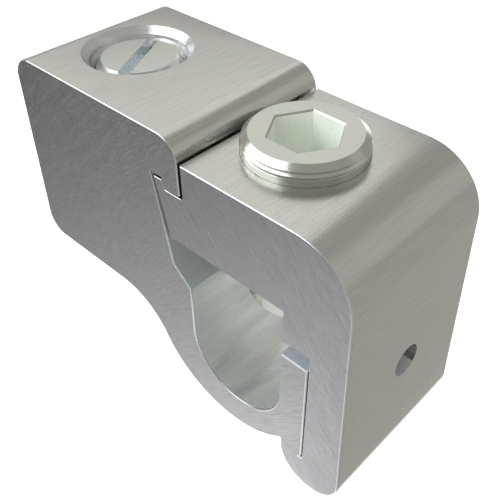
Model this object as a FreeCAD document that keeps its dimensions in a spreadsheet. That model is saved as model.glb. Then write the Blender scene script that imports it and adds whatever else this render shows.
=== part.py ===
import FreeCAD, Part
import math
import os

import Sketcher
from FreeCAD import Placement, Rotation, Vector

doc = FreeCAD.newDocument("tap_connector")

# How near two places are to count as one, in millimetres.
SAME_PLACE = 1e-4

# Driving sizes in millimetres and degrees. Depths are measured down from the top of the
# tap block, and lengths across from its left face.
SIZES = [
    # Both extrusions are sawn to one width.
    ("width", 25.4),
    ("edge_break", 0.25),
    ("fit_gap", 0.05),
    # Tap block
    ("block_length", 33.3),
    ("block_depth", 30.5),
    ("block_corner", 3.3),
    # Nose that the cap hangs on, and the undercut behind it
    ("nose_depth", 7.9),
    ("nose_foot", 2.7),
    ("nose_flare", 0.6),
    ("nose_round", 0.45),
    ("undercut_depth", 6.4),
    ("undercut_reach", 5.2),
    # Slanted flank and shoulder that lead into the channel
    ("flank_angle", 11.4),
    ("flank_depth", 19.8),
    ("shoulder_depth", 22.6),
    ("channel_setback", 0.55),
    # Channel and cradle for the run conductor
    ("channel_radius", 7.8),
    ("channel_floor", 38.2),
    ("cradle_wall", 5.1),
    ("cradle_back_radius", 14.6),
    ("bend_radius", 10.15),
    ("bend_start", 18.3),
    # Springy upright and the slanted seat under it, whose outer corner hangs below the channel
    ("upright_depth", 22.8),
    ("upright_wall", 4.3),
    ("lean_angle", 1.7),
    ("seat_drop", 2.5),
    ("seat_angle", 16.3),
    ("seat_round", 0.6),
    # Clamp cap
    ("cap_drop", 3.0),
    ("cap_thickness", 12.5),
    ("cap_corner", 8.2),
    ("seam_gap", 0.4),
    ("tongue_gap", 0.3),
    ("tongue_side_gap", 0.35),
    ("tongue_angle", 14.0),
    ("upright_headroom", 2.3),
    ("leg_wall", 5.65),
    ("foot_drop", 5.0),
    ("leg_hole_diameter", 4.7),
    ("leg_hole_depth", 3.2),
    ("leg_hole_down", 27.0),
    ("drill_angle", 118.0),
    # Run screw: hex socket above, and a smooth point that is small enough to enter the channel
    ("run_screw_offset", 0.45),
    ("run_screw_diameter", 15.8),
    ("run_screw_length", 24.4),
    ("run_thread_length", 14.0),
    ("run_point_diameter", 14.6),
    ("run_screw_stand", 2.6),
    ("run_screw_bevel", 0.95),
    ("run_screw_bevel_depth", 0.75),
    ("run_screw_tip_bevel", 0.3),
    ("socket_flats", 8.4),
    ("socket_depth", 8.0),
    ("socket_bevel", 0.2),
    # Tap screw, slotted, and its countersunk hole with a tapered lead into the thread
    ("tap_screw_along", 11.35),
    ("tap_screw_diameter", 12.4),
    ("tap_screw_length", 8.2),
    ("tap_screw_sink", 1.05),
    ("tap_screw_bevel", 0.92),
    ("tap_screw_bevel_depth", 1.5),
    ("tap_screw_tip_bevel", 0.8),
    ("tap_screw_turn", 118.6),
    ("slot_width", 1.75),
    ("slot_depth", 2.6),
    ("countersink_diameter", 15.65),
    ("countersink_depth", 1.05),
    ("lead_diameter", 13.9),
    ("lead_depth", 1.55),
    # Port for the tap conductor, in the block's left face
    ("port_diameter", 13.4),
    ("port_down", 16.0),
    ("port_length", 22.0),
    ("port_bevel", 0.6),
]

# Places that follow from the driving sizes.
PLACES = [
    # Nose and undercut
    ("heel_x", "=Sizes.block_length - Sizes.nose_foot"),
    ("undercut_right", "=heel_x - Sizes.nose_flare"),
    ("undercut_left", "=Sizes.block_length - Sizes.undercut_reach"),
    ("flank_x", "=undercut_left + (Sizes.flank_depth - Sizes.undercut_depth) * tan(Sizes.flank_angle)"),
    # Channel
    ("channel_left", "=Sizes.block_length + Sizes.channel_setback"),
    ("channel_x", "=channel_left + Sizes.channel_radius"),
    ("channel_axis", "=Sizes.channel_floor - Sizes.channel_radius"),
    ("lean_x", "=channel_x + Sizes.channel_radius * cos(Sizes.lean_angle)"),
    ("lean_depth", "=channel_axis + Sizes.channel_radius * sin(Sizes.lean_angle)"),
    ("lean", "=tan(Sizes.lean_angle)"),
    # Upright: its inner line starts where it leaves the cradle's curve
    ("seat_depth", "=Sizes.channel_floor + Sizes.seat_drop"),
    ("upright_in_x", "=lean_x + (lean_depth - Sizes.upright_depth) * lean"),
    ("upright_out_x", "=upright_in_x + Sizes.upright_wall / cos(Sizes.lean_angle)"),
    ("seat_x", "=upright_out_x - (seat_depth - Sizes.upright_depth) * lean"),
    # Back of the cradle, tangent to the bend under the block
    ("back_axis", "=Sizes.channel_floor + Sizes.cradle_wall - Sizes.cradle_back_radius"),
    ("bend_axis", "=Sizes.block_depth + Sizes.bend_radius"),
    ("radii", "=Sizes.bend_radius + Sizes.cradle_back_radius"),
    ("back_x", "=Sizes.bend_start + sqrt(radii ^ 2 - (bend_axis - back_axis) ^ 2)"),
    ("join_x", "=Sizes.bend_start + (back_x - Sizes.bend_start) * Sizes.bend_radius / radii"),
    ("join_depth", "=bend_axis - (bend_axis - back_axis) * Sizes.bend_radius / radii"),
    # Seat: runs from the upright's outer line up to the cradle's back
    ("seat_dx", "=seat_x - back_x"),
    ("seat_dz", "=seat_depth - back_axis"),
    ("seat_along", "=seat_dx * cos(Sizes.seat_angle) + seat_dz * sin(Sizes.seat_angle)"),
    ("seat_out", "=seat_dx ^ 2 + seat_dz ^ 2 - Sizes.cradle_back_radius ^ 2"),
    ("seat_run", "=seat_along - sqrt(seat_along ^ 2 - seat_out)"),
    ("seat_end_x", "=seat_x - seat_run * cos(Sizes.seat_angle)"),
    ("seat_end_depth", "=seat_depth - seat_run * sin(Sizes.seat_angle)"),
    # Cap: its faces follow the body's, a gap away
    ("cap_left", "=Sizes.block_length + Sizes.seam_gap"),
    ("cap_under", "=Sizes.cap_drop + Sizes.cap_thickness"),
    ("groove_depth", "=Sizes.nose_depth + Sizes.fit_gap"),
    ("groove_x", "=heel_x - Sizes.fit_gap"),
    ("tongue_top", "=Sizes.undercut_depth + Sizes.tongue_gap"),
    ("flare", "=Sizes.nose_flare / (Sizes.nose_depth - Sizes.undercut_depth)"),
    ("tongue_right", "=groove_x - (groove_depth - tongue_top) * flare"),
    ("tongue_left", "=undercut_left + Sizes.tongue_gap * tan(Sizes.flank_angle) + Sizes.tongue_side_gap"),
    ("tongue_end", "=tongue_left + (cap_under - tongue_top) * tan(Sizes.tongue_angle)"),
    ("cap_inner_x", "=lean_x + (lean_depth - cap_under) * lean"),
    ("notch_depth", "=Sizes.upright_depth - Sizes.upright_headroom"),
    ("notch_left", "=lean_x + (lean_depth - notch_depth) * lean"),
    ("leg_gap", "=Sizes.fit_gap / cos(Sizes.lean_angle)"),
    ("notch_right", "=upright_out_x + (Sizes.upright_depth - notch_depth) * lean + leg_gap"),
    ("leg_x", "=upright_out_x + leg_gap + Sizes.leg_wall"),
    # Foot: its seat is the body's seat, a gap below
    ("foot_seat_depth", "=seat_depth + Sizes.fit_gap / cos(Sizes.seat_angle)"),
    ("foot_seat_x", "=upright_out_x + leg_gap - (foot_seat_depth - Sizes.upright_depth) * lean"),
    ("foot_left", "=seat_end_x + Sizes.fit_gap"),
    ("foot_radius", "=(leg_x - foot_left) / 2"),
    ("foot_axis", "=seat_depth + Sizes.foot_drop - foot_radius"),
    ("foot_tip", "=foot_seat_depth - (foot_seat_x - foot_left) * tan(Sizes.seat_angle)"),
    # Screws
    ("run_screw_x", "=channel_x + Sizes.run_screw_offset"),
    ("run_screw_top", "=Sizes.cap_drop - Sizes.run_screw_stand"),
    ("run_bore_radius", "=Sizes.run_screw_diameter / 2 + Sizes.fit_gap"),
    ("tap_bore_radius", "=Sizes.tap_screw_diameter / 2 + Sizes.fit_gap"),
    ("socket_radius", "=Sizes.socket_flats / 2 / cos(30)"),
]


def fill_sheet(name, rows):
    """Write named cells down column B, with their names beside them."""
    sheet = doc.addObject("Spreadsheet::Sheet", name)
    for row, (alias, content) in enumerate(rows, start=1):
        sheet.set("A%d" % row, alias)
        sheet.set("B%d" % row, str(content))
        sheet.setAlias("B%d" % row, alias)
    doc.recompute()
    return sheet


sizes = fill_sheet("Sizes", SIZES)
places = fill_sheet("Places", PLACES)


def new_body(label):
    """An empty body whose frame has its origin on the channel's axis, at mid width."""
    body = doc.addObject("PartDesign::Body", label)
    body.Label = label
    doc.recompute()
    return body


def origin_plane(body, role):
    return next(plane for plane in body.Origin.OriginFeatures if plane.Role == role)


def add_sketch(body, name, role, along=None, down=None):
    """A sketch on one of the body's origin planes, its own origin shifted if asked."""
    sketch = body.newObject("Sketcher::SketchObject", name)
    sketch.AttachmentSupport = [(origin_plane(body, role), "")]
    sketch.MapMode = "FlatFace"
    if along:
        sketch.setExpression("AttachmentOffset.Base.x", along)
    if down:
        sketch.setExpression("AttachmentOffset.Base.y", "-(%s)" % down)
    doc.recompute()
    return sketch


def pin_point(sketch, geometry, end, across, down):
    """Hold a point by its distance across and its depth below the sketch's origin."""
    x = sketch.evalExpression(across)
    y = sketch.evalExpression(down)
    if x == 0:
        sketch.addConstraint(Sketcher.Constraint("PointOnObject", geometry, end, -2))
    else:
        index = sketch.addConstraint(Sketcher.Constraint("DistanceX", -1, 1, geometry, end, x))
        sketch.setExpression("Constraints[%d]" % index, across)
    if y == 0:
        sketch.addConstraint(Sketcher.Constraint("PointOnObject", geometry, end, -1))
    else:
        index = sketch.addConstraint(Sketcher.Constraint("DistanceY", geometry, end, -1, 1, y))
        sketch.setExpression("Constraints[%d]" % index, down)


def arc_between(start, end, centre, clockwise):
    """Part arc from start to end about centre."""
    radius = start.distanceToPoint(centre)
    first = math.atan2(start.y - centre.y, start.x - centre.x)
    last = math.atan2(end.y - centre.y, end.x - centre.x)
    if clockwise:
        first, last = last, first
    if last < first:
        last += 2 * math.pi
    return Part.ArcOfCircle(Part.Circle(centre, Vector(0, 0, 1), radius), first, last)


def draw_outline(sketch, corners):
    """Closed outline through the corners, which are (across, down) expressions. A third
    entry makes the edge that leaves the corner an arc: (centre, clockwise, what holds it)."""
    points = [Vector(sketch.evalExpression(c[0]), -sketch.evalExpression(c[1]), 0) for c in corners]
    count = len(corners)
    starts = []
    ends = []
    for i, corner in enumerate(corners):
        start = points[i]
        end = points[(i + 1) % count]
        if len(corner) == 2:
            edge = sketch.addGeometry(Part.LineSegment(start, end), False)
            starts.append((edge, 1))
            ends.append((edge, 2))
            continue
        centre, clockwise, held = corner[2]
        middle = Vector(sketch.evalExpression(centre[0]), -sketch.evalExpression(centre[1]), 0)
        edge = sketch.addGeometry(arc_between(start, end, middle, clockwise), False)
        starts.append((edge, 2 if clockwise else 1))
        ends.append((edge, 1 if clockwise else 2))
        if held == "across":
            rule = Sketcher.Constraint("DistanceX", -1, 1, edge, 3, middle.x)
            formula = centre[0]
        else:
            rule = Sketcher.Constraint("DistanceY", edge, 3, -1, 1, -middle.y)
            formula = centre[1]
        index = sketch.addConstraint(rule)
        sketch.setExpression("Constraints[%d]" % index, formula)
    for i, corner in enumerate(corners):
        before = ends[i - 1]
        here = starts[i]
        sketch.addConstraint(Sketcher.Constraint("Coincident", before[0], before[1], here[0], here[1]))
        pin_point(sketch, here[0], here[1], corner[0], corner[1])
    doc.recompute()


def pad_width(body, name, sketch):
    """Extrude the outline by the sawn width, half to each side."""
    pad = body.newObject("PartDesign::Pad", name)
    pad.Profile = sketch
    pad.Midplane = True
    pad.setExpression("Length", "Sizes.width")
    doc.recompute()
    return pad


def edges_at(shape, corners):
    """Names of the edges across the width that stand on the given outline corners."""
    names = []
    for across, down in corners:
        x = sizes.evalExpression(across)
        z = -sizes.evalExpression(down)
        for number, edge in enumerate(shape.Edges, start=1):
            ends = [vertex.Point for vertex in edge.Vertexes]
            on_corner = all(math.hypot(p.x - x, p.z - z) < SAME_PLACE for p in ends)
            if len(ends) == 2 and on_corner:
                names.append("Edge%d" % number)
    return names


def round_edges(body, name, base, corners, radius):
    fillet = body.newObject("PartDesign::Fillet", name)
    fillet.Base = (base, edges_at(base.Shape, corners))
    fillet.setExpression("Radius", radius)
    doc.recompute()
    return fillet


def break_sawn_edges(body, name, base):
    """Small bevel round the outline of both sawn faces."""
    half = sizes.width / 2
    faces = []
    for number, face in enumerate(base.Shape.Faces, start=1):
        if abs(abs(face.CenterOfMass.y) - half) < SAME_PLACE:
            faces.append("Face%d" % number)
    chamfer = body.newObject("PartDesign::Chamfer", name)
    chamfer.Base = (base, faces)
    chamfer.setExpression("Size", "Sizes.edge_break")
    doc.recompute()
    return chamfer


def turn(body, kind, name, sketch):
    """Revolve a half section about the sketch's upright axis."""
    feature = body.newObject(kind, name)
    feature.Profile = sketch
    feature.ReferenceAxis = (sketch, ["V_Axis"])
    feature.Angle = 360
    doc.recompute()
    return feature


def place(body, across, down, turned="0"):
    """Put a body where its own origin lies across and down from the block's top left."""
    body.setExpression("Placement.Base.x", "%s - Places.channel_x" % across)
    body.setExpression("Placement.Base.z", "Places.channel_axis - (%s)" % down)
    body.setExpression("Placement.Rotation.Yaw", turned)
    doc.recompute()


# Body of the connector: one extruded profile, sawn to width, then drilled
tap_body = new_body("tap_body")
body_outline = add_sketch(tap_body, "body_outline", "XZ_Plane")
draw_outline(body_outline, [
    ("0", "0"),
    ("Sizes.block_length", "0"),
    ("Sizes.block_length", "Sizes.nose_depth"),
    ("Places.heel_x", "Sizes.nose_depth"),
    ("Places.undercut_right", "Sizes.undercut_depth"),
    ("Places.undercut_left", "Sizes.undercut_depth"),
    ("Places.flank_x", "Sizes.flank_depth"),
    ("Places.channel_left", "Sizes.shoulder_depth"),
    ("Places.channel_left", "Places.channel_axis",
     (("Places.channel_x", "Places.channel_axis"), False, "across")),
    ("Places.lean_x", "Places.lean_depth"),
    ("Places.upright_in_x", "Sizes.upright_depth"),
    ("Places.upright_out_x", "Sizes.upright_depth"),
    ("Places.seat_x", "Places.seat_depth"),
    ("Places.seat_end_x", "Places.seat_end_depth",
     (("Places.back_x", "Places.back_axis"), True, "down")),
    ("Places.join_x", "Places.join_depth",
     (("Sizes.bend_start", "Places.bend_axis"), False, "down")),
    ("Sizes.bend_start", "Sizes.block_depth"),
    ("0", "Sizes.block_depth"),
])
body_pad = pad_width(tap_body, "body_pad", body_outline)
block_rounds = round_edges(tap_body, "block_rounds", body_pad, [
    ("0", "0"),
    ("0", "Sizes.block_depth"),
    ("Sizes.block_length", "0"),
], "Sizes.block_corner")
nose_round = round_edges(tap_body, "nose_round", block_rounds, [
    ("Sizes.block_length", "Sizes.nose_depth"),
], "Sizes.nose_round")
seat_round = round_edges(tap_body, "seat_round", nose_round, [
    ("Places.seat_x", "Places.seat_depth"),
], "Sizes.seat_round")
body_edges = break_sawn_edges(tap_body, "body_edges", seat_round)

# Tap screw's hole: countersunk at the top, and open into the wire port below
tap_hole_section = add_sketch(tap_body, "tap_hole_section", "XZ_Plane", "Sizes.tap_screw_along")
draw_outline(tap_hole_section, [
    ("0", "0"),
    ("Sizes.countersink_diameter / 2", "0"),
    ("Sizes.lead_diameter / 2", "Sizes.countersink_depth"),
    ("Places.tap_bore_radius", "Sizes.countersink_depth + Sizes.lead_depth"),
    ("Places.tap_bore_radius", "Sizes.port_down"),
    ("0", "Sizes.port_down"),
])
tap_hole = turn(tap_body, "PartDesign::Groove", "tap_hole", tap_hole_section)

# Wire port: a blind drilled bore from the left face, with a bevelled mouth
port_section = add_sketch(tap_body, "port_section", "XZ_Plane", None, "Sizes.port_down")
port_point = "Sizes.port_length + Sizes.port_diameter / 2 / tan(Sizes.drill_angle / 2)"
port_corners = [
    ("0", "0"),
    ("0", "Sizes.port_diameter / 2 + Sizes.port_bevel"),
    ("Sizes.port_bevel", "Sizes.port_diameter / 2"),
    ("Sizes.port_length", "Sizes.port_diameter / 2"),
    (port_point, "0"),
]
draw_outline(port_section, port_corners)
port = tap_body.newObject("PartDesign::Groove", "port")
port.Profile = port_section
port.ReferenceAxis = (port_section, ["H_Axis"])
port.Angle = 360
doc.recompute()
place(tap_body, "0", "0")

# Clamp cap: the second extruded profile, hooked over the nose and under the seat
clamp_cap = new_body("clamp_cap")
cap_outline = add_sketch(clamp_cap, "cap_outline", "XZ_Plane")
draw_outline(cap_outline, [
    ("Places.cap_left", "Sizes.cap_drop"),
    ("Places.leg_x", "Sizes.cap_drop"),
    ("Places.leg_x", "Places.foot_axis",
     (("Places.leg_x - Places.foot_radius", "Places.foot_axis"), True, "down")),
    ("Places.foot_left", "Places.foot_axis"),
    ("Places.foot_left", "Places.foot_tip"),
    ("Places.foot_seat_x", "Places.foot_seat_depth"),
    ("Places.notch_right", "Places.notch_depth"),
    ("Places.notch_left", "Places.notch_depth"),
    ("Places.cap_inner_x", "Places.cap_under"),
    ("Places.tongue_end", "Places.cap_under"),
    ("Places.tongue_left", "Places.tongue_top"),
    ("Places.tongue_right", "Places.tongue_top"),
    ("Places.groove_x", "Places.groove_depth"),
    ("Places.cap_left", "Places.groove_depth"),
])
cap_pad = pad_width(clamp_cap, "cap_pad", cap_outline)
cap_round = round_edges(clamp_cap, "cap_round", cap_pad, [
    ("Places.leg_x", "Sizes.cap_drop"),
], "Sizes.cap_corner")
groove_round = round_edges(clamp_cap, "groove_round", cap_round, [
    ("Places.cap_left", "Places.groove_depth"),
], "Sizes.nose_round")
foot_round = round_edges(clamp_cap, "foot_round", groove_round, [
    ("Places.foot_seat_x", "Places.foot_seat_depth"),
], "Sizes.seat_round")
cap_edges = break_sawn_edges(clamp_cap, "cap_edges", foot_round)

# Run screw's hole, right through the top bar; it just grazes the leg's inner face below
run_hole_section = add_sketch(clamp_cap, "run_hole_section", "XZ_Plane", "Places.run_screw_x")
draw_outline(run_hole_section, [
    ("0", "0"),
    ("Places.run_bore_radius", "0"),
    ("Places.run_bore_radius", "Places.notch_depth"),
    ("0", "Places.notch_depth"),
])
run_hole = turn(clamp_cap, "PartDesign::Groove", "run_hole", run_hole_section)

# Small drilled hole in the outside of the leg
leg_hole_section = add_sketch(clamp_cap, "leg_hole_section", "XZ_Plane", "Places.leg_x", "Sizes.leg_hole_down")
leg_hole_point = "Sizes.leg_hole_diameter / 2 / tan(Sizes.drill_angle / 2)"
draw_outline(leg_hole_section, [
    ("0", "0"),
    ("0", "Sizes.leg_hole_diameter / 2"),
    ("-Sizes.leg_hole_depth", "Sizes.leg_hole_diameter / 2"),
    ("-Sizes.leg_hole_depth - " + leg_hole_point, "0"),
])
leg_hole = clamp_cap.newObject("PartDesign::Groove", "leg_hole")
leg_hole.Profile = leg_hole_section
leg_hole.ReferenceAxis = (leg_hole_section, ["H_Axis"])
leg_hole.Angle = 360
doc.recompute()
place(clamp_cap, "0", "0")

# Run screw: turned blank with a smooth point, bevelled ends and a hex socket
run_screw = new_body("run_screw")
run_screw_section = add_sketch(run_screw, "run_screw_section", "XZ_Plane")
run_radius = "Sizes.run_screw_diameter / 2"
point_radius = "Sizes.run_point_diameter / 2"
draw_outline(run_screw_section, [
    ("0", "0"),
    (run_radius + " - Sizes.run_screw_bevel", "0"),
    (run_radius, "Sizes.run_screw_bevel_depth"),
    (run_radius, "Sizes.run_thread_length"),
    (point_radius, "Sizes.run_thread_length + %s - %s" % (run_radius, point_radius)),
    (point_radius, "Sizes.run_screw_length - Sizes.run_screw_tip_bevel"),
    (point_radius + " - Sizes.run_screw_tip_bevel", "Sizes.run_screw_length"),
    ("0", "Sizes.run_screw_length"),
])
run_blank = turn(run_screw, "PartDesign::Revolution", "run_blank", run_screw_section)
socket_outline = add_sketch(run_screw, "socket_outline", "XY_Plane")
flat_across = "Places.socket_radius / 2"
flat_half = "Sizes.socket_flats / 2"
draw_outline(socket_outline, [
    ("Places.socket_radius", "0"),
    (flat_across, flat_half),
    ("-" + flat_across, flat_half),
    ("-Places.socket_radius", "0"),
    ("-" + flat_across, "-" + flat_half),
    (flat_across, "-" + flat_half),
])
socket = run_screw.newObject("PartDesign::Pocket", "socket")
socket.Profile = socket_outline
socket.setExpression("Length", "Sizes.socket_depth")
doc.recompute()
mouth = []
for number, edge in enumerate(socket.Shape.Edges, start=1):
    if all(abs(v.Z) < SAME_PLACE for v in edge.Vertexes) and len(edge.Vertexes) == 2:
        mouth.append("Edge%d" % number)
socket_mouth = run_screw.newObject("PartDesign::Chamfer", "socket_mouth")
socket_mouth.Base = (socket, mouth)
socket_mouth.setExpression("Size", "Sizes.socket_bevel")
doc.recompute()
place(run_screw, "Places.run_screw_x", "Places.run_screw_top")

# Tap screw: short turned blank with bevelled ends and a slot
tap_screw = new_body("tap_screw")
tap_screw_section = add_sketch(tap_screw, "tap_screw_section", "XZ_Plane")
tap_radius = "Sizes.tap_screw_diameter / 2"
draw_outline(tap_screw_section, [
    ("0", "0"),
    (tap_radius + " - Sizes.tap_screw_bevel", "0"),
    (tap_radius, "Sizes.tap_screw_bevel_depth"),
    (tap_radius, "Sizes.tap_screw_length - Sizes.tap_screw_tip_bevel"),
    (tap_radius + " - Sizes.tap_screw_tip_bevel", "Sizes.tap_screw_length"),
    ("0", "Sizes.tap_screw_length"),
])
tap_blank = turn(tap_screw, "PartDesign::Revolution", "tap_blank", tap_screw_section)
slot_outline = add_sketch(tap_screw, "slot_outline", "XY_Plane")
slot_half = "Sizes.slot_width / 2"
slot_reach = "Sizes.tap_screw_diameter"
draw_outline(slot_outline, [
    (slot_reach, slot_half),
    ("-" + slot_reach, slot_half),
    ("-" + slot_reach, "-" + slot_half),
    (slot_reach, "-" + slot_half),
])
slot = tap_screw.newObject("PartDesign::Pocket", "slot")
slot.Profile = slot_outline
slot.setExpression("Length", "Sizes.slot_depth")
doc.recompute()
place(tap_screw, "Sizes.tap_screw_along", "Sizes.tap_screw_sink", "Sizes.tap_screw_turn")

# Check every object, then write one file for each piece
pieces = [tap_body, clamp_cap, run_screw, tap_screw]
doc.recompute()
for item in doc.Objects:
    if "Invalid" in item.State or "Error" in item.State:
        raise RuntimeError("%s failed: %s" % (item.Name, item.State))
os.makedirs("parts", exist_ok=True)
for piece in pieces:
    shape = piece.Shape
    if shape.isNull() or not shape.isValid() or len(shape.Solids) != 1:
        raise RuntimeError("%s has no valid single solid" % piece.Label)
for piece in pieces:
    piece.Shape.exportStep("parts/%s.step" % piece.Label)
    box = piece.Shape.BoundBox
    print("%-10s volume %9.1f  x %7.2f %7.2f  y %7.2f %7.2f  z %7.2f %7.2f" % (
        piece.Label, piece.Shape.Volume, box.XMin, box.XMax, box.YMin, box.YMax, box.ZMin, box.ZMax))
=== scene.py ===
import math
import bmesh
import bpy
from mathutils import Matrix, Vector


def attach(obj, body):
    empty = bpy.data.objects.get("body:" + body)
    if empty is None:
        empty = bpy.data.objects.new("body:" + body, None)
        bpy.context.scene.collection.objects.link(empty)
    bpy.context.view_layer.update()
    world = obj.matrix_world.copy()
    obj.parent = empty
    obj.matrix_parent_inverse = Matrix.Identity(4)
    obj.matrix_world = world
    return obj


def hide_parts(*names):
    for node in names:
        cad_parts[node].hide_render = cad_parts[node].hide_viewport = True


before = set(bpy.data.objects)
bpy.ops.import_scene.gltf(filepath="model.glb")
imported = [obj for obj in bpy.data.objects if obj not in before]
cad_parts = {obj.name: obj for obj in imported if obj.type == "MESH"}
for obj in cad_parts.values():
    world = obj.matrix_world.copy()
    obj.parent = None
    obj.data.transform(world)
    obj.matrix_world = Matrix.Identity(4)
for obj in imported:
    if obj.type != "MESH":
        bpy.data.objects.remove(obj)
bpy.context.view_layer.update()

# Tap block extrusion: one length of aluminium section, drawn through a die along the conductor's
# direction and sawn off at both sides. Its long faces keep the die's fine lines, the sawn faces
# carry slanting blade marks and torn crumbs, and the tap screw's hole is countersunk by a cutter.
MM = 0.001
sawn_half = 12.7 * MM
block_left = -41.65 * MM
block_top = 30.4 * MM
tap_hole_along = -30.3 * MM
port_height = 14.4 * MM
port_reach = 7.4 * MM
screw_hole_reach = 7.95 * MM


def start_finish(name):
    """A new finish with one principled surface: the material, its node tree and that surface."""
    finish = bpy.data.materials.new(name)
    finish.use_nodes = True
    tree = finish.node_tree
    tree.nodes.clear()
    surface = tree.nodes.new("ShaderNodeBsdfPrincipled")
    out = tree.nodes.new("ShaderNodeOutputMaterial")
    tree.links.new(surface.outputs["BSDF"], out.inputs["Surface"])
    return finish, tree, surface


def place_pattern(tree, turn=(0, 0, 0), stretch=(1, 1, 1), centre=(0, 0, 0)):
    """Object coordinates, moved to a centre, turned and stretched to the pattern's repeats per metre."""
    spot = tree.nodes.new("ShaderNodeTexCoord")
    shift = tree.nodes.new("ShaderNodeVectorMath")
    shift.operation = "SUBTRACT"
    shift.inputs[1].default_value = centre
    spin = tree.nodes.new("ShaderNodeVectorRotate")
    spin.rotation_type = "EULER_XYZ"
    spin.inputs["Rotation"].default_value = turn
    scale = tree.nodes.new("ShaderNodeVectorMath")
    scale.operation = "MULTIPLY"
    scale.inputs[1].default_value = stretch
    tree.links.new(spot.outputs["Object"], shift.inputs[0])
    tree.links.new(shift.outputs[0], spin.inputs["Vector"])
    tree.links.new(spin.outputs[0], scale.inputs[0])
    return scale.outputs[0]


def speckle(tree, where, detail, roughness):
    """Fractal noise over a placed pattern."""
    noise = tree.nodes.new("ShaderNodeTexNoise")
    noise.inputs["Scale"].default_value = 1.0
    noise.inputs["Detail"].default_value = detail
    noise.inputs["Roughness"].default_value = roughness
    tree.links.new(where, noise.inputs["Vector"])
    return noise.outputs["Fac"]


def spread(tree, value, low, high, to_low, to_high):
    """Maps one range of a pattern to another, held at both ends."""
    ramp = tree.nodes.new("ShaderNodeMapRange")
    for socket, number in (("From Min", low), ("From Max", high), ("To Min", to_low), ("To Max", to_high)):
        ramp.inputs[socket].default_value = number
    tree.links.new(value, ramp.inputs["Value"])
    return ramp.outputs["Result"]


def stretch_noise(tree, noise, to_low, to_high):
    """Maps the range that noise mostly keeps to, 0.3 to 0.7, to another."""
    return spread(tree, noise, 0.3, 0.7, to_low, to_high)


def reckon(tree, rule, first, second=0.0):
    """One sum, product or other rule between patterns or numbers."""
    node = tree.nodes.new("ShaderNodeMath")
    node.operation = rule
    for socket, value in ((node.inputs[0], first), (node.inputs[1], second)):
        if isinstance(value, (int, float)):
            socket.default_value = value
        else:
            tree.links.new(value, socket)
    return node.outputs[0]


def blend(tree, pattern, other, share):
    """Two patterns in one, the second with a share of it, over the whole range from 0 to 1."""
    most = reckon(tree, "MULTIPLY", pattern, 1 - share)
    rest = reckon(tree, "MULTIPLY", other, share)
    return stretch_noise(tree, reckon(tree, "ADD", most, rest), 0.0, 1.0)


def tint(tree, share, dark, light):
    """A colour between two others by a pattern's share."""
    mix = tree.nodes.new("ShaderNodeMix")
    mix.data_type = "RGBA"
    mix.inputs["A"].default_value = (*dark, 1)
    mix.inputs["B"].default_value = (*light, 1)
    tree.links.new(share, mix.inputs["Factor"])
    return mix.outputs["Result"]


def emboss(tree, surface, heights):
    """Stacks several bumps, each a pattern and its height in metres, on a surface."""
    last = None
    for pattern, height in heights:
        bump = tree.nodes.new("ShaderNodeBump")
        bump.inputs["Strength"].default_value = 1.0
        bump.inputs["Distance"].default_value = height
        tree.links.new(pattern, bump.inputs["Height"])
        if last is not None:
            tree.links.new(last, bump.inputs["Normal"])
        last = bump.outputs["Normal"]
    tree.links.new(last, surface.inputs["Normal"])


def die_drawn(name, dark, light, metal=1.0):
    """Extruded face: fine die lines and longer streaks along the conductor, with a few small pits."""
    finish, tree, surface = start_finish(name)
    surface.inputs["Metallic"].default_value = metal
    lines = speckle(tree, place_pattern(tree, stretch=(8000, 220, 8000)), 1.0, 0.5)
    streaks = speckle(tree, place_pattern(tree, stretch=(1500, 14, 1500)), 2.0, 0.5)
    spots = speckle(tree, place_pattern(tree, stretch=(4600, 3200, 4600)), 1.0, 0.4)
    pits = spread(tree, spots, 0.68, 0.72, 0.0, 1.0)
    clouds = speckle(tree, place_pattern(tree, stretch=(90, 50, 90)), 2.0, 0.5)
    shade = blend(tree, lines, streaks, 0.18)
    tree.links.new(tint(tree, shade, dark, light), surface.inputs["Base Color"])
    cloudy = stretch_noise(tree, clouds, 0.19, 0.24)
    streaky = reckon(tree, "MULTIPLY", streaks, 0.06)
    tree.links.new(reckon(tree, "ADD", cloudy, streaky), surface.inputs["Roughness"])
    emboss(tree, surface, [(lines, 0.0013 * MM), (streaks, 0.0009 * MM), (pits, -0.006 * MM)])
    return finish


def sawn(name, turn, dark, light):
    """Sawn face: blade marks that slant by a turn, broad sweeps and raised crumbs, dull grey."""
    finish, tree, surface = start_finish(name)
    surface.inputs["Metallic"].default_value = 1.0
    slant = (0, turn, 0)
    marks = speckle(tree, place_pattern(tree, turn=slant, stretch=(330, 3000, 8200)), 1.0, 0.5)
    sweep = speckle(tree, place_pattern(tree, turn=slant, stretch=(120, 500, 1100)), 2.0, 0.5)
    torn = speckle(tree, place_pattern(tree, turn=slant, stretch=(2300, 2300, 4200)), 1.0, 0.4)
    crumbs = spread(tree, torn, 0.6, 0.66, 0.0, 1.0)
    shade = blend(tree, marks, sweep, 0.15)
    tree.links.new(tint(tree, shade, dark, light), surface.inputs["Base Color"])
    tree.links.new(stretch_noise(tree, sweep, 0.42, 0.52), surface.inputs["Roughness"])
    emboss(tree, surface, [(sweep, 0.003 * MM), (marks, 0.0048 * MM), (crumbs, 0.032 * MM)])
    return finish


def rubbed_with_painted_highlight(name, colour):
    """The broken edge of a sawn face: rubbed bright by deburring, and made lighter and bluer still as a
    painted highlight.
    """
    finish, tree, surface = start_finish(name)
    surface.inputs["Metallic"].default_value = 1.0
    rub = speckle(tree, place_pattern(tree, stretch=(1200, 1200, 1200)), 2.0, 0.5)
    tree.links.new(tint(tree, rub, [c * 0.85 for c in colour], colour), surface.inputs["Base Color"])
    tree.links.new(stretch_noise(tree, rub, 0.16, 0.30), surface.inputs["Roughness"])
    emboss(tree, surface, [(rub, 0.008 * MM)])
    return finish


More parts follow.
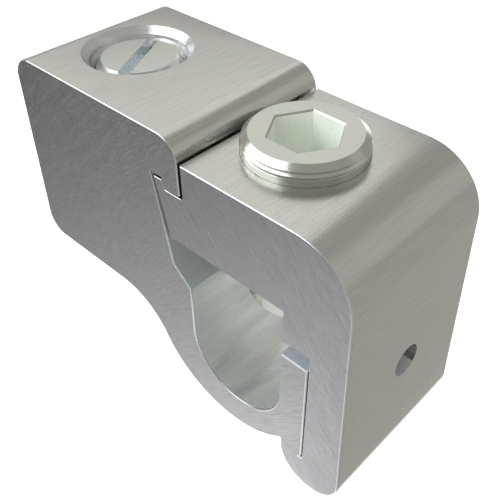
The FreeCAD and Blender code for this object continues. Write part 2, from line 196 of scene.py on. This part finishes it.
def bored(name, along, level, pitch, colour, thread_height=0.02 * MM, metal=1.0):
    """Metal cut round an upright axis: tool rings, chatter and, on a wall, the lines of a thread."""
    finish, tree, surface = start_finish(name)
    surface.inputs["Metallic"].default_value = metal
    mouth = (along, 0, level)
    axes = tree.nodes.new("ShaderNodeSeparateXYZ")
    tree.links.new(place_pattern(tree, centre=mouth), axes.inputs[0])
    round_it = reckon(tree, "ARCTAN2", axes.outputs["Y"], axes.outputs["X"])
    turns = reckon(tree, "ADD", reckon(tree, "MULTIPLY", axes.outputs["Z"], 2 * math.pi / pitch), round_it)
    thread = reckon(tree, "SINE", turns)
    rings = speckle(tree, place_pattern(tree, centre=mouth, stretch=(150, 150, 5200)), 2.0, 0.6)
    chatter = speckle(tree, place_pattern(tree, stretch=(1100, 1100, 500)), 2.0, 0.5)
    tree.links.new(tint(tree, rings, [c * 0.8 for c in colour], colour), surface.inputs["Base Color"])
    tree.links.new(stretch_noise(tree, chatter, 0.20, 0.36), surface.inputs["Roughness"])
    emboss(tree, surface, [(thread, thread_height), (rings, 0.0025 * MM), (chatter, 0.006 * MM)])
    return finish


def take_solid(node, name, hole_along):
    """A merged copy of a CAD solid, smooth except at corners and at the rims of the holes."""
    shape = bmesh.new()
    shape.from_mesh(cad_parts[node].data)
    bmesh.ops.remove_doubles(shape, verts=shape.verts, dist=0.0005 * MM)
    for side in (-1, 1):
        end = [face for face in shape.faces if face.normal.y * side > 0.9999
               and abs(face.calc_center_median().y) > sawn_half - 0.01 * MM]
        bmesh.ops.dissolve_faces(shape, faces=end)
    for face in shape.faces:
        face.smooth = True
    for edge in shape.edges:
        bend = edge.calc_face_angle(0.0) if len(edge.link_faces) == 2 else math.pi
        ends = [vert.co for vert in edge.verts]
        in_hole = all(math.hypot(end.x - hole_along, end.y) < screw_hole_reach for end in ends)
        level = abs(ends[0].z - ends[1].z) < 0.001 * MM and abs(ends[0].x - ends[1].x) > 0.001 * MM
        between_flats = all(face.calc_area() > 15 * MM * MM for face in edge.link_faces)
        port_rim = all(end.x < block_left + 0.05 * MM
                       and math.hypot(end.y, end.z - port_height) < port_reach for end in ends)
        # The bend that stays smooth, in degrees: least on a hole's rings, most over a rubbed edge.
        most_bend = 6 if in_hole and level else 20 if between_flats or port_rim else 46
        edge.smooth = bend < math.radians(most_bend)
    mesh = bpy.data.meshes.new(name)
    shape.to_mesh(mesh)
    shape.free()
    piece = bpy.data.objects.new(name, mesh)
    bpy.context.scene.collection.objects.link(piece)
    even = piece.modifiers.new("even_shading", "WEIGHTED_NORMAL")
    even.keep_sharp = True
    even.weight = 100
    settle(piece)
    return piece


def settle(piece):
    """Turns a piece's modifiers into its plain mesh."""
    bpy.context.view_layer.update()
    done = piece.evaluated_get(bpy.context.evaluated_depsgraph_get())
    mesh = bpy.data.meshes.new_from_object(done)
    piece.modifiers.clear()
    piece.data = mesh
    mesh.name = piece.name


def sort_faces(piece, finishes, hollow, holes):
    """Gives each face its finish by its place in the list.

    The list starts with the outer skin, sawn ends, their rubbed edges, partly a painted highlight, and the
    skin round the hollow, lightened with painted light.
    A hole is its mouth on the axis, the axis, its radius, its depth and its finish's place."""
    mesh = piece.data
    mesh.materials.clear()
    for finish in finishes:
        mesh.materials.append(finish)
    for face in mesh.polygons:
        corners = [mesh.vertices[i].co for i in face.vertices]
        at_end = [abs(corner.y) > sawn_half - 0.02 * MM for corner in corners]
        inward = hollow - face.center
        inward.y = 0
        near = inward.length
        toward = face.normal.dot(inward.normalized())
        # Round the hollow, the faces that take its lighter skin with painted light: close to it all but
        # what is turned away, further off what is turned to it.
        facing = near < 13 * MM and toward > -0.7 or near < 16 * MM and toward > 0.3
        face.material_index = 1 if all(at_end) else 2 if any(at_end) else 3 if facing else 0
        for mouth, axis, radius, depth, place in holes:
            steps = [corner - mouth for corner in corners]
            deep = [-step.dot(axis) for step in steps]
            off = [(step - step.dot(axis) * axis).length for step in steps]
            within = max(off) < radius and -0.01 * MM < min(deep) and max(deep) < depth
            outer_face = face.normal.dot(axis) >= 0.999 and min(deep) <= 0.1 * MM
            if within and not outer_face:
                face.material_index = place


block_skin = die_drawn("block_drawn_skin", (0.585, 0.578, 0.553), (0.675, 0.668, 0.643))
# The channel's skin is the same drawn aluminium, made lighter, bluer and less metallic than the outer skin:
# painted light in the channel.
block_inside = die_drawn("block_channel_skin", (0.82, 0.84, 0.83), (0.95, 0.97, 0.96), 0.75)
block_sawn = sawn("block_sawn_face", math.radians(44), (0.42, 0.42, 0.423), (0.56, 0.56, 0.565))
block_edge = rubbed_with_painted_highlight("block_rubbed_edge", (0.76, 0.765, 0.79))
tap_tool_pitch = 0.9 * MM
block_port = bored("block_wire_port", tap_hole_along, port_height, tap_tool_pitch, (0.74, 0.75, 0.76), 0.0)
block_wall = bored("block_tapped_wall", tap_hole_along, block_top, tap_tool_pitch, (0.74, 0.77, 0.78))
block_cone = bored("block_countersink", tap_hole_along, block_top, tap_tool_pitch, (0.86, 0.86, 0.88), 0.0)
# The lead-in and the ledge take a bluer, less metallic copy of the skin: painted light.
block_lead_in = die_drawn("block_lead_in_skin", (0.57, 0.61, 0.65), (0.63, 0.67, 0.70), 0.4)
up = Vector((0, 0, 1))
tap_mouth = Vector((tap_hole_along, 0, block_top))
port_mouth = Vector((block_left, 0, port_height))
channel_axis = Vector((0, 0, 0))
tap_body = take_solid("tap_body", "tap_block", tap_hole_along)
sort_faces(tap_body, [block_skin, block_sawn, block_edge, block_inside, block_port, block_wall, block_cone,
                      block_lead_in],
           channel_axis,
           [(port_mouth, Vector((-1, 0, 0)), port_reach, 23 * MM, 4),
            (tap_mouth, up, 7.0 * MM, 17 * MM, 5),
            (tap_mouth, up, screw_hole_reach, 1.06 * MM, 6)])
# The slanting lead-in over the channel and the ledge on the upright look up and away from the block; their
# bluer, less metallic copy of the skin is painted light.
for face in tap_body.data.polygons:
    beside_channel = 3 * MM < face.center.z < 19 * MM and face.area > 0.2 * MM * MM
    if beside_channel and face.normal.x > -0.1 and face.normal.z > 0.1:
        face.material_index = 7
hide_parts("tap_body")
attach(tap_body, "block")

# Clamp cap: a second drawn and sawn section, hooked into the block's groove on one side and under
# the cradle's outer wall on the other, with a threaded hole for the run screw and a drilled spot.
cap_skin = die_drawn("cap_drawn_skin", (0.585, 0.578, 0.553), (0.675, 0.668, 0.643))
# The cap's hollow skin is lighter, bluer and less metallic than its outer skin: painted light in the
# hollow.
cap_inside = die_drawn("cap_hollow_skin", (0.80, 0.83, 0.86), (0.92, 0.95, 0.98), 0.6)
cap_sawn = sawn("cap_sawn_face", math.radians(-50), (0.405, 0.405, 0.415), (0.555, 0.555, 0.575))
cap_edge = rubbed_with_painted_highlight("cap_rubbed_edge", (0.78, 0.785, 0.82))
run_hole_along = 0.45 * MM
run_pitch = 1.411 * MM
cap_top = 27.4 * MM
cap_wall = bored("cap_tapped_wall", run_hole_along, cap_top, run_pitch, (0.72, 0.73, 0.74))
spot_height = 0.4 * MM
# The drilled spot's wall is near white, blue and hardly metallic: painted light in the small hole.
cap_drilled = bored("cap_drilled_spot", run_hole_along, spot_height, 1.0 * MM, (0.93, 0.96, 1.0), 0.0, 0.1)
clamp_cap = take_solid("clamp_cap", "clamp_cap_section", run_hole_along)
# The thread's first turn closes the hole's rim in on the screw's neck.
rim_radius = 7.92 * MM
for corner in clamp_cap.data.vertices:
    off = math.hypot(corner.co.x - run_hole_along, corner.co.y)
    if corner.co.z > cap_top - 0.01 * MM and 7.9 * MM < off < 8.2 * MM:
        corner.co.x = run_hole_along + (corner.co.x - run_hole_along) * rim_radius / off
        corner.co.y *= rim_radius / off
run_mouth = Vector((run_hole_along, 0, cap_top))
spot_mouth = Vector((18.03 * MM, 0, spot_height))
sort_faces(clamp_cap, [cap_skin, cap_sawn, cap_edge, cap_inside, cap_wall, cap_drilled],
           channel_axis,
           [(run_mouth, up, 8.1 * MM, 30 * MM, 4),
            (spot_mouth, Vector((1, 0, 0)), 2.5 * MM, 5 * MM, 5)])
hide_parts("clamp_cap")
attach(clamp_cap, "cap")

# Set screws: zinc-plated steel, with a rolled thread that starts under the bevelled top, a smooth
# reduced point on the larger one, and a socket or slot cut down into the top for the driver.


def zinc(name, plain, green, gold, low_rough, high_rough, metal=1.0, relief=0.006 * MM):
    """Zinc plate: bright, with clouds of pale green and gold and a finely mottled shine."""
    finish, tree, surface = start_finish(name)
    surface.inputs["Metallic"].default_value = metal
    clouds = speckle(tree, place_pattern(tree, stretch=(240, 240, 240)), 3.0, 0.6)
    patches = speckle(tree, place_pattern(tree, stretch=(320, 260, 300), centre=(0.02, 0.01, 0)), 2.0, 0.5)
    mottle = speckle(tree, place_pattern(tree, stretch=(2600, 2600, 2600)), 2.0, 0.6)
    greener = tint(tree, spread(tree, clouds, 0.4, 0.62, 0.0, 1.0), plain, green)
    mix = tree.nodes.new("ShaderNodeMix")
    mix.data_type = "RGBA"
    mix.inputs["B"].default_value = (*gold, 1)
    tree.links.new(greener, mix.inputs["A"])
    tree.links.new(spread(tree, patches, 0.56, 0.7, 0.0, 0.7), mix.inputs["Factor"])
    tree.links.new(mix.outputs["Result"], surface.inputs["Base Color"])
    tree.links.new(stretch_noise(tree, mottle, low_rough, high_rough), surface.inputs["Roughness"])
    emboss(tree, surface, [(mottle, relief), (clouds, 1.6 * relief)])
    return finish


def grow_screw_tree(name):
    """Geometry Nodes tree that turns a screw's half outline into a threaded screw and cuts its drive."""
    tree = bpy.data.node_groups.new(name, "GeometryNodeTree")
    face = tree.interface
    face.new_socket("Outline", in_out="INPUT", socket_type="NodeSocketGeometry")
    face.new_socket("Drive", in_out="INPUT", socket_type="NodeSocketObject")
    for label in ("Axis Along", "Thread Top", "Thread Bottom", "Pitch", "Crest Radius", "Root Radius",
                  "Crest Turn", "Drive Radius", "Drive Top", "Drive Floor"):
        face.new_socket(label, in_out="INPUT", socket_type="NodeSocketFloat")
    face.new_socket("Around", in_out="INPUT", socket_type="NodeSocketInt")
    for label in ("Plate", "Drive Plate"):
        face.new_socket(label, in_out="INPUT", socket_type="NodeSocketMaterial")
    face.new_socket("Screw", in_out="OUTPUT", socket_type="NodeSocketGeometry")
    given = tree.nodes.new("NodeGroupInput")
    link = tree.links.new

    def node(kind, **options):
        made = tree.nodes.new(kind)
        for key, value in options.items():
            setattr(made, key, value)
        return made

    def sum_of(rule, first, second=0.0):
        step = node("ShaderNodeMath", operation=rule)
        for socket, value in zip(step.inputs, (first, second)):
            if isinstance(value, (int, float)):
                socket.default_value = value
            else:
                link(value, socket)
        return step.outputs[0]

    # The blank: a grid with a row for each point of the outline and a column for each step round.
    size = node("GeometryNodeAttributeDomainSize")
    link(given.outputs["Outline"], size.inputs[0])
    rows = size.outputs["Point Count"]
    blank = node("GeometryNodeMeshGrid")
    blank.inputs["Size X"].default_value = 1.0
    link(sum_of("SUBTRACT", rows, 1), blank.inputs["Size Y"])
    link(sum_of("ADD", given.outputs["Around"], 1), blank.inputs["Vertices X"])
    link(rows, blank.inputs["Vertices Y"])
    here = node("ShaderNodeSeparateXYZ")
    link(node("GeometryNodeInputPosition").outputs[0], here.inputs[0])
    turn = sum_of("ADD", here.outputs["X"], 0.5)
    half_rows = sum_of("DIVIDE", sum_of("SUBTRACT", rows, 1), 2)
    row = sum_of("ROUND", sum_of("ADD", here.outputs["Y"], half_rows))
    lookup = node("GeometryNodeSampleIndex", data_type="FLOAT_VECTOR", domain="POINT")
    link(given.outputs["Outline"], lookup.inputs["Geometry"])
    link(node("GeometryNodeInputPosition").outputs[0], lookup.inputs["Value"])
    link(row, lookup.inputs["Index"])
    outline = node("ShaderNodeSeparateXYZ")
    link(lookup.outputs[0], outline.inputs[0])

    # The thread: its rows climb one pitch a turn, and their height in it says crest, flank or root.
    threaded = outline.outputs["Y"]
    climb = sum_of("MULTIPLY", turn, given.outputs["Pitch"])
    high = sum_of("MINIMUM", sum_of("ADD", outline.outputs["Z"], climb), given.outputs["Thread Top"])
    held = sum_of("MAXIMUM", high, given.outputs["Thread Bottom"])
    phase = sum_of("DIVIDE", sum_of("SUBTRACT", held, climb), given.outputs["Pitch"])
    phase = sum_of("FRACT", sum_of("ADD", phase, given.outputs["Crest Turn"]))
    away = sum_of("MULTIPLY", sum_of("ABSOLUTE", sum_of("SUBTRACT", phase, 0.5)), 2)
    flank = node("ShaderNodeMapRange", interpolation_type="SMOOTHSTEP")
    for socket, number in (("From Min", 0.06), ("From Max", 0.86)):
        flank.inputs[socket].default_value = number
    link(away, flank.inputs["Value"])
    link(given.outputs["Crest Radius"], flank.inputs["To Min"])
    link(given.outputs["Root Radius"], flank.inputs["To Max"])
    radius = node("ShaderNodeMix", data_type="FLOAT")
    link(threaded, radius.inputs["Factor"])
    link(outline.outputs["X"], radius.inputs["A"])
    link(flank.outputs["Result"], radius.inputs["B"])
    height = node("ShaderNodeMix", data_type="FLOAT")
    link(threaded, height.inputs["Factor"])
    link(outline.outputs["Z"], height.inputs["A"])
    link(held, height.inputs["B"])

    # The blank rolled up round the screw's axis, and welded along its seam.
    angle = sum_of("MULTIPLY", turn, 2 * math.pi)
    spot = node("ShaderNodeCombineXYZ")
    across = sum_of("MULTIPLY", radius.outputs[0], sum_of("COSINE", angle))
    link(sum_of("ADD", across, given.outputs["Axis Along"]), spot.inputs["X"])
    link(sum_of("MULTIPLY", radius.outputs[0], sum_of("SINE", angle)), spot.inputs["Y"])
    link(height.outputs[0], spot.inputs["Z"])
    shape = node("GeometryNodeSetPosition")
    link(blank.outputs["Mesh"], shape.inputs["Geometry"])
    link(spot.outputs[0], shape.inputs["Position"])
    weld = node("GeometryNodeMergeByDistance")
    weld.inputs["Distance"].default_value = 0.0005 * MM
    link(shape.outputs[0], weld.inputs["Geometry"])
    outward = node("GeometryNodeFlipFaces")
    link(weld.outputs[0], outward.inputs["Mesh"])

    # The drive cut out of the top, and corners over 32 degrees kept crisp.
    cut = node("GeometryNodeMeshBoolean", operation="DIFFERENCE", solver="EXACT")
    link(outward.outputs[0], cut.inputs["Mesh 1"])
    drive = node("GeometryNodeObjectInfo", transform_space="ORIGINAL")
    link(given.outputs["Drive"], drive.inputs["Object"])
    link(drive.outputs["Geometry"], cut.inputs["Mesh 2"])
    real = node("GeometryNodeRealizeInstances")
    link(cut.outputs["Mesh"], real.inputs[0])
    soft = node("GeometryNodeSetShadeSmooth", domain="FACE")
    link(real.outputs[0], soft.inputs["Geometry"])
    bend = node("GeometryNodeInputMeshEdgeAngle")
    crisp = node("GeometryNodeSetShadeSmooth", domain="EDGE")
    crisp.inputs["Shade Smooth"].default_value = False
    link(soft.outputs[0], crisp.inputs["Geometry"])
    corner = sum_of("GREATER_THAN", bend.outputs["Unsigned Angle"], math.radians(32))
    link(corner, crisp.inputs["Selection"])

    # The plating: one all over, and on what lies inside the drive a lighter, less metallic one with painted
    # light.
    plate = node("GeometryNodeSetMaterial")
    link(crisp.outputs[0], plate.inputs["Geometry"])
    link(given.outputs["Plate"], plate.inputs["Material"])
    level = node("ShaderNodeSeparateXYZ")
    link(node("GeometryNodeInputPosition").outputs[0], level.inputs[0])
    from_axis = sum_of("SUBTRACT", level.outputs["X"], given.outputs["Axis Along"])
    squared = sum_of("ADD", sum_of("MULTIPLY", from_axis, from_axis),
                     sum_of("MULTIPLY", level.outputs["Y"], level.outputs["Y"]))
    inside = sum_of("LESS_THAN", sum_of("SQRT", squared), given.outputs["Drive Radius"])
    below = sum_of("LESS_THAN", level.outputs["Z"], given.outputs["Drive Top"])
    above = sum_of("GREATER_THAN", level.outputs["Z"], given.outputs["Drive Floor"])
    in_drive = node("GeometryNodeSetMaterial")
    link(plate.outputs[0], in_drive.inputs["Geometry"])
    link(sum_of("MULTIPLY", inside, sum_of("MULTIPLY", below, above)), in_drive.inputs["Selection"])
    link(given.outputs["Drive Plate"], in_drive.inputs["Material"])
    out = node("NodeGroupOutput")
    link(in_drive.outputs[0], out.inputs["Screw"])
    return tree


def thread_rows(top, bottom, pitch):
    """Outline rows of the thread: one turn more than its length, because each row climbs one pitch."""
    steps = 14
    count = round(((top - bottom) / pitch + 1) * steps)
    return [(0.0, 1.0, top - pitch * step / steps) for step in range(count + 1)]


def plain_rows(top, rows):
    """Outline rows that aren't threaded, each a radius and a depth under the top in millimetres."""
    return [(radius * MM, 0.0, top - depth * MM) for radius, depth in rows]


def make_drive(name, rings):
    """A closed cutter from rings of points, from above the screw's top down to its deep end."""
    shape = bmesh.new()
    loops = [[shape.verts.new(point) for point in ring] for ring in rings]
    for upper, lower in zip(loops, loops[1:]):
        for step in range(len(upper)):
            after = (step + 1) % len(upper)
            shape.faces.new((upper[step], upper[after], lower[after], lower[step]))
    shape.faces.new(loops[0])
    shape.faces.new(loops[-1])
    bmesh.ops.recalc_face_normals(shape, faces=shape.faces)
    mesh = bpy.data.meshes.new(name)
    shape.to_mesh(mesh)
    shape.free()
    return mesh


def grow_screw(name, outline, drive, sizes):
    """Grows one screw from its outline and drive, and leaves a plain mesh at the origin."""
    blank = bpy.data.meshes.new(name)
    blank.from_pydata(outline, [], [])
    screw = bpy.data.objects.new(name, blank)
    cutter = bpy.data.objects.new(drive.name, drive)
    for made in (screw, cutter):
        bpy.context.scene.collection.objects.link(made)
    grow = screw.modifiers.new("thread", "NODES")
    grow.node_group = screw_tree
    values = dict(sizes, Drive=cutter)
    for socket in screw_tree.interface.items_tree:
        if socket.name in values:
            grow[socket.identifier] = values[socket.name]
    settle(screw)
    bpy.data.objects.remove(cutter)
    return screw


screw_tree = grow_screw_tree("threaded_set_screw")

# The run screw: a bevelled and grooved head with a hexagon socket, its thread, and a smooth point.
run_top = 30.0 * MM
run_thread_top = run_top - 2.75 * MM
run_thread_end = run_top - 14.0 * MM
socket_corner = 4.85
socket_depth = 8.0
mouth_depth = 0.2
socket_steps = ((socket_corner + 0.7, -0.406), (socket_corner, mouth_depth), (socket_corner, socket_depth))
socket_rings = []
for corner, depth in socket_steps:
    ring = []
    for step in range(6):
        turned = math.radians(60 * step)
        ring.append((run_hole_along + corner * MM * math.cos(turned), corner * MM * math.sin(turned),
                     run_top - depth * MM))
    socket_rings.append(ring)
run_outline = plain_rows(run_top, [(0, 0), (6.95, 0), (7.75, 0.66), (7.74, 0.71), (7.50, 0.86),
                                   (7.50, 0.98), (7.84, 1.24), (7.89, 1.30), (7.84, 1.38), (7.66, 1.50),
                                   (7.66, 1.56), (7.89, 1.70), (7.89, 2.70)])
run_outline += thread_rows(run_thread_top, run_thread_end, run_pitch)
run_outline += plain_rows(run_top, [(7.25, 14.1), (7.25, 24.1), (6.95, 24.4), (0, 24.4)])
run_plate = zinc("run_screw_zinc", (0.63, 0.625, 0.595), (0.61, 0.65, 0.59), (0.69, 0.65, 0.52), 0.13, 0.22)
# Inside the socket the zinc is near white and hardly metallic: painted light in the socket.
run_socket = zinc("run_socket_zinc", (0.97, 0.99, 0.94), (0.86, 0.93, 0.83), (0.98, 0.985, 0.93),
                  0.26, 0.38, metal=0.1, relief=0.003 * MM)
run_screw = grow_screw("hex_socket_screw", run_outline, make_drive("hex_drive", socket_rings),
                       {"Axis Along": run_hole_along, "Thread Top": run_thread_top,
                        "Thread Bottom": run_thread_end, "Pitch": run_pitch,
                        "Crest Radius": 7.89 * MM, "Root Radius": 7.15 * MM, "Crest Turn": 0.0,
                        "Around": 144, "Drive Radius": 5.1 * MM, "Drive Top": run_top - 0.02 * MM,
                        "Drive Floor": run_top - (socket_depth + 0.1) * MM,
                        "Plate": run_plate, "Drive Plate": run_socket})
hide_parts("run_screw")
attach(run_screw, "run_screw")

# The tap screw: shorter, with a steep bevel round its top and one sawn slot.
tap_top = 29.35 * MM
tap_thread_top = tap_top - 2.0 * MM
tap_thread_end = tap_top - 7.3 * MM
tap_pitch = 1.27 * MM
slot_turn = Matrix.Rotation(math.radians(118.6), 3, "Z")
slot_corners = ((-7, -0.875), (7, -0.875), (7, 0.875), (-7, 0.875))
slot_depth = 2.6
slot_rings = []
for depth in (-1.0, slot_depth):
    middle = Vector((tap_hole_along, 0, tap_top - depth * MM))
    slot_rings.append([slot_turn @ Vector((x * MM, y * MM, 0)) + middle for x, y in slot_corners])
tap_outline = plain_rows(tap_top, [(0, 0), (5.28, 0), (6.15, 1.42), (6.19, 1.5), (6.19, 1.6), (5.75, 1.9)])
tap_outline += thread_rows(tap_thread_top, tap_thread_end, tap_pitch)
tap_outline += plain_rows(tap_top, [(5.6, 7.4), (4.9, 8.2), (0, 8.2)])
tap_plate = zinc("tap_screw_zinc", (0.68, 0.675, 0.645), (0.64, 0.69, 0.66), (0.71, 0.68, 0.58), 0.14, 0.24)
# Inside the slot the zinc is lighter, bluer and less metallic than the plate: painted light in the slot.
tap_slot = zinc("tap_slot_zinc", (0.88, 0.92, 0.95), (0.86, 0.92, 0.93), (0.90, 0.92, 0.92),
                0.26, 0.36, metal=0.6, relief=0.0006 * MM)
tap_screw = grow_screw("slotted_screw", tap_outline, make_drive("slot_drive", slot_rings),
                       {"Axis Along": tap_hole_along, "Thread Top": tap_thread_top,
                        "Thread Bottom": tap_thread_end, "Pitch": tap_pitch,
                        "Crest Radius": 6.19 * MM, "Root Radius": 5.55 * MM, "Crest Turn": 0.2,
                        "Around": 128, "Drive Radius": 5.0 * MM, "Drive Top": tap_top - 0.02 * MM,
                        "Drive Floor": tap_top - (slot_depth + 0.1) * MM,
                        "Plate": tap_plate, "Drive Plate": tap_slot})
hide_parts("tap_screw")
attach(tap_screw, "tap_screw")

# Studio: a plain pale floor under the cap's foot, soft boxes round the object and a grey room. The
# floor is white to the eye and in the metal, and still takes the object's shadow.
floor_height = -15.3 * MM
sheet = bpy.data.meshes.new("floor")
reach = 3.0
sheet.from_pydata([(-reach, -reach, floor_height), (reach, -reach, floor_height),
                   (reach, reach, floor_height), (-reach, reach, floor_height)], [], [(0, 1, 2, 3)])
floor = bpy.data.objects.new("floor", sheet)
bpy.context.scene.collection.objects.link(floor)
floor_paint = bpy.data.materials.new("floor_paint")
floor_paint.use_nodes = True
tree = floor_paint.node_tree
tree.nodes.clear()
matt = tree.nodes.new("ShaderNodeBsdfDiffuse")
matt.inputs["Color"].default_value = (0.8, 0.8, 0.8, 1)
glow = tree.nodes.new("ShaderNodeEmission")
glow.inputs["Color"].default_value = (1, 1, 1, 1)
ray = tree.nodes.new("ShaderNodeLightPath")
seen = reckon(tree, "MAXIMUM", ray.outputs["Is Camera Ray"],
              reckon(tree, "MAXIMUM", ray.outputs["Is Glossy Ray"], ray.outputs["Is Transmission Ray"]))
tree.links.new(reckon(tree, "MULTIPLY", seen, 0.88), glow.inputs["Strength"])
both = tree.nodes.new("ShaderNodeAddShader")
tree.links.new(matt.outputs[0], both.inputs[0])
tree.links.new(glow.outputs[0], both.inputs[1])
out = tree.nodes.new("ShaderNodeOutputMaterial")
tree.links.new(both.outputs[0], out.inputs["Surface"])
sheet.materials.append(floor_paint)


def hang_lamp(name, place, aim, size, watts, colour):
    """A soft box at a place, turned to a point on the object."""
    light = bpy.data.lights.new(name, "AREA")
    light.shape = "RECTANGLE"
    light.size, light.size_y = size
    light.energy = watts
    light.color = colour
    lamp = bpy.data.objects.new(name, light)
    lamp.location = place
    lamp.rotation_euler = (Vector(aim) - Vector(place)).to_track_quat("-Z", "Y").to_euler()
    lamp.visible_camera = False
    bpy.context.scene.collection.objects.link(lamp)
    return lamp


hang_lamp("left_back_box", (-0.372, 0.2325, 0.478), (-0.01, 0, 0.02), (0.62, 0.5), 0.47, (1.0, 1.0, 0.98))
hang_lamp("right_back_box", (0.415, 0.34, 0.26), (0, 0, 0.01), (0.5, 0.34), 0.075, (1.0, 0.96, 0.90))
hang_lamp("left_front_box", (-0.27, -0.255, 0.375), (0, 0, 0.02), (0.68, 0.46), 1.65, (0.97, 0.985, 1.0))
# The small front box reaches into the hexagon socket and the channel. The metal doesn't mirror it.
fill = hang_lamp("front_fill", (-0.05, -0.36, 0.17), (0, 0, 0.005), (0.16, 0.16), 0.5, (0.93, 0.97, 1.0))
fill.visible_glossy = False

# A dark glowing card lies in front of the object, out of the picture, seen only in the metal: a pool of
# light painted on it close to the cap's foot is a painted reflection in the metal's front. A plain grey one
# lies at the right for the cap's leg.


def lay_card(name, corners, hue, tone, painted_pool_glow, from_spot, fade):
    """A glowing card seen in the metal only: its own glow, and a painted pool of light towards one spot,
    fading by a distance.
    """
    sheet = bpy.data.meshes.new(name)
    level = floor_height + 0.1 * MM
    sheet.from_pydata([(x, y, level) for x, y in corners], [], [tuple(range(len(corners)))])
    paint = bpy.data.materials.new(name + "_paint")
    paint.use_nodes = True
    tree = paint.node_tree
    tree.nodes.clear()
    glow = tree.nodes.new("ShaderNodeEmission")
    glow.inputs["Color"].default_value = (*hue, 1)
    away = tree.nodes.new("ShaderNodeVectorMath")
    away.operation = "LENGTH"
    tree.links.new(place_pattern(tree, centre=(*from_spot, floor_height)), away.inputs[0])
    fall = reckon(tree, "EXPONENT", reckon(tree, "DIVIDE", away.outputs["Value"], -fade))
    lit = reckon(tree, "ADD", reckon(tree, "MULTIPLY", fall, painted_pool_glow), tone)
    tree.links.new(lit, glow.inputs["Strength"])
    out = tree.nodes.new("ShaderNodeOutputMaterial")
    tree.links.new(glow.outputs[0], out.inputs["Surface"])
    sheet.materials.append(paint)
    card = bpy.data.objects.new(name, sheet)
    card.visible_camera = False
    card.visible_diffuse = False
    card.visible_transmission = False
    card.visible_shadow = False
    bpy.context.scene.collection.objects.link(card)


card_seam = 0.0188
front_start = -0.013
front_reach = -1.2
side_reach = 2.9
lay_card("front_card", [(front_reach, front_start), (front_reach, front_reach),
                        (card_seam, front_reach), (card_seam, front_start)],
         (1, 1, 1), 0.115, 1.12, (0.006, -0.014), 0.053)
lay_card("side_card", [(card_seam, -side_reach), (side_reach, -side_reach),
                       (side_reach, side_reach), (card_seam, side_reach)],
         (1.0, 0.965, 0.91), 0.465, 0.0, (0.02, 0.0), 0.04)

room = bpy.data.worlds.new("room")
bpy.context.scene.world = room
room.use_nodes = True
tree = room.node_tree
tree.nodes.clear()
air = tree.nodes.new("ShaderNodeBackground")
air.inputs["Color"].default_value = (0.41, 0.405, 0.385, 1)
air.inputs["Strength"].default_value = 1.0
out = tree.nodes.new("ShaderNodeOutputWorld")
tree.links.new(air.outputs[0], out.inputs["Surface"])

# Camera, at the photograph's place: close above the right front, looking down over the cap.
lens = bpy.data.cameras.new("camera")
lens.sensor_width = 36.0
lens.lens = 52.626
lens.shift_x = -0.0519
lens.shift_y = -0.0811
lens.clip_start = 0.001
lens.clip_end = 20.0
camera = bpy.data.objects.new("camera", lens)
camera.location = (0.0470660, -0.0563438, 0.0751050)
camera.rotation_euler = [math.radians(turn) for turn in (52.11466, -0.15432, 42.47279)]
bpy.context.scene.collection.objects.link(camera)
bpy.context.scene.camera = camera
bpy.context.scene.view_settings.view_transform = "Standard"
